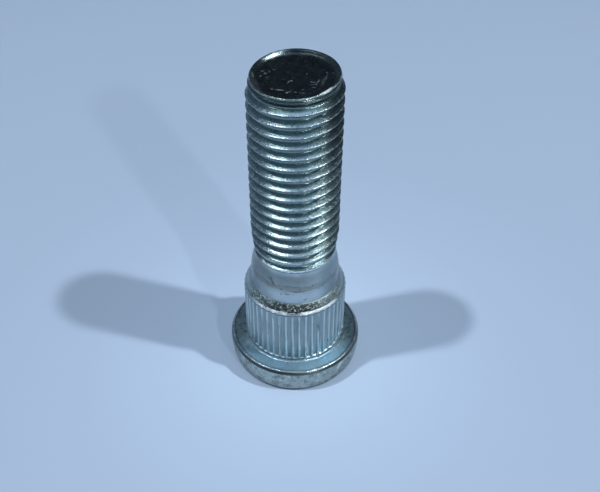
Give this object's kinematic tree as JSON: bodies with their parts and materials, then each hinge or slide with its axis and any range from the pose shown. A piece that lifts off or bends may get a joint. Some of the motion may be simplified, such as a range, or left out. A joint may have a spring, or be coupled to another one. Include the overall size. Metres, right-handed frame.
{
  "type": "wheel stud",
  "caption": "Press-in wheel stud: a round forged head, a straight-splined shank, a rounded neck and a right-hand thread that ends in a cupped tip.",
  "frame": {"origin": "centre of the head's flat base, on which the stud stands", "axes": "+Z along the stud's axis, from the head up to the threaded tip; the picture looks along +Y and down"},
  "size_m": [0.0188, 0.0188, 0.0464],
  "materials": {
    "zinc_plated_steel": "bright clear-blue zinc plate on steel, a little scuffed and stained at the neck"
  },
  "bodies": {
    "root": {"wheel_stud": "zinc_plated_steel"}
  },
  "joints": []
}
